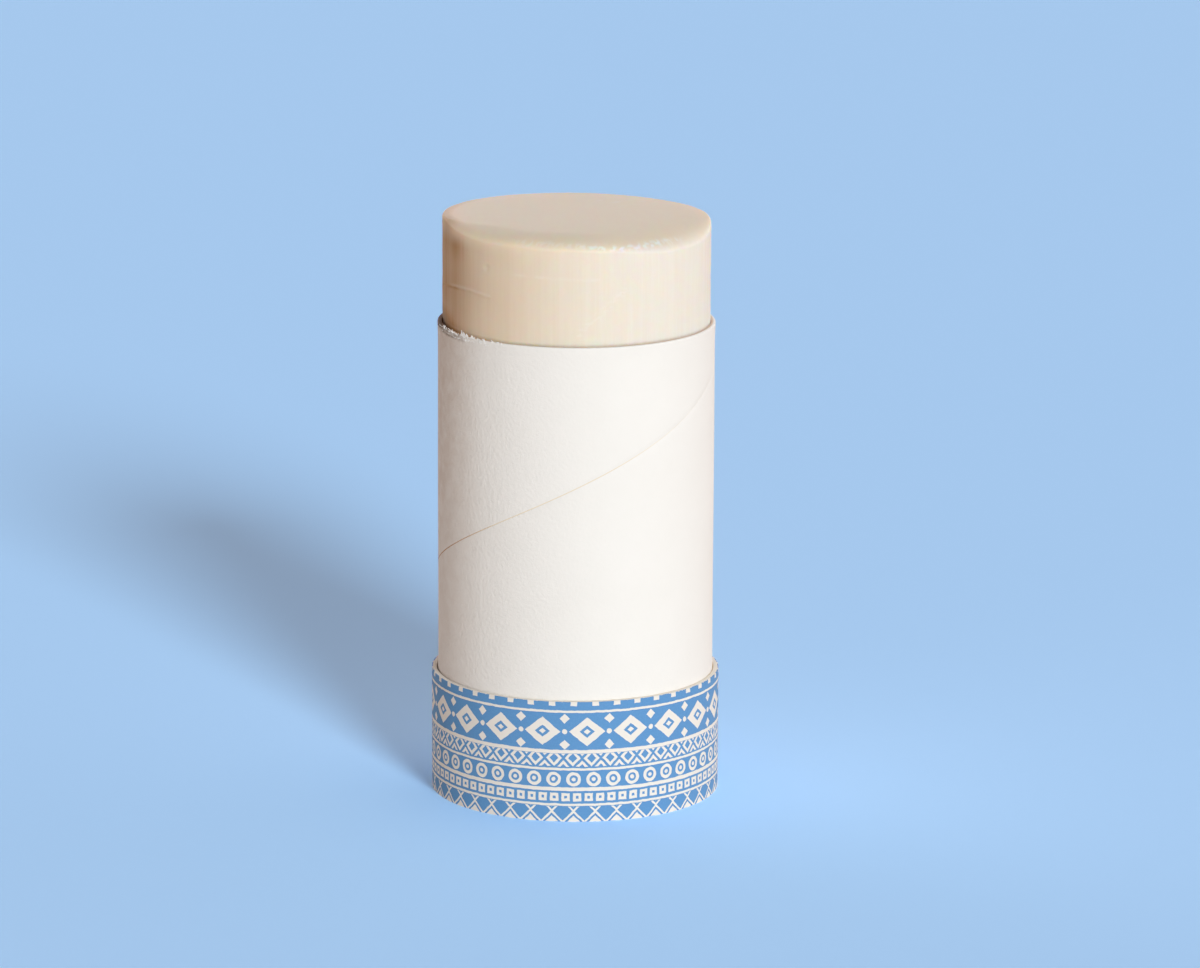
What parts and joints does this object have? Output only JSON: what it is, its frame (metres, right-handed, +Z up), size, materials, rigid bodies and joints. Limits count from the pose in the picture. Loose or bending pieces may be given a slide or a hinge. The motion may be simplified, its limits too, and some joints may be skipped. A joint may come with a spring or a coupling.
{
  "type": "deodorant stick",
  "caption": "Push-up balm stick in a white spiral-wound paper tube with a patterned paper band round its foot, cap off.",
  "frame": {"origin": "middle of the foot, on the tube's axis, on the surface that the part stands on", "axes": "+Z up the tube's axis, the way the balm is pushed out; the picture looks along +Y, with +X to the right"},
  "size_m": [0.048, 0.0481, 0.0974],
  "materials": {
    "white_board": "uncoated white board",
    "band_board": "cut board edge",
    "printed_paper": "matt print",
    "disc_board": "uncoated grey board",
    "collar_paper": "waxed kraft paper",
    "balm": "waxy, faintly translucent"
  },
  "bodies": {
    "tube": {"inner_tube": "white_board", "base_sleeve": "band_board", "printed_wrap": "printed_paper"},
    "stick": {"deodorant_stick": "balm", "push_disc": "disc_board", "disc_collar": "collar_paper"}
  },
  "joints": [
    {"name": "push_up", "type": "slide", "parent": "tube", "child": "stick", "axis": [0, 0, 1], "range_m": [-0.0195, 0.0453]}
  ]
}
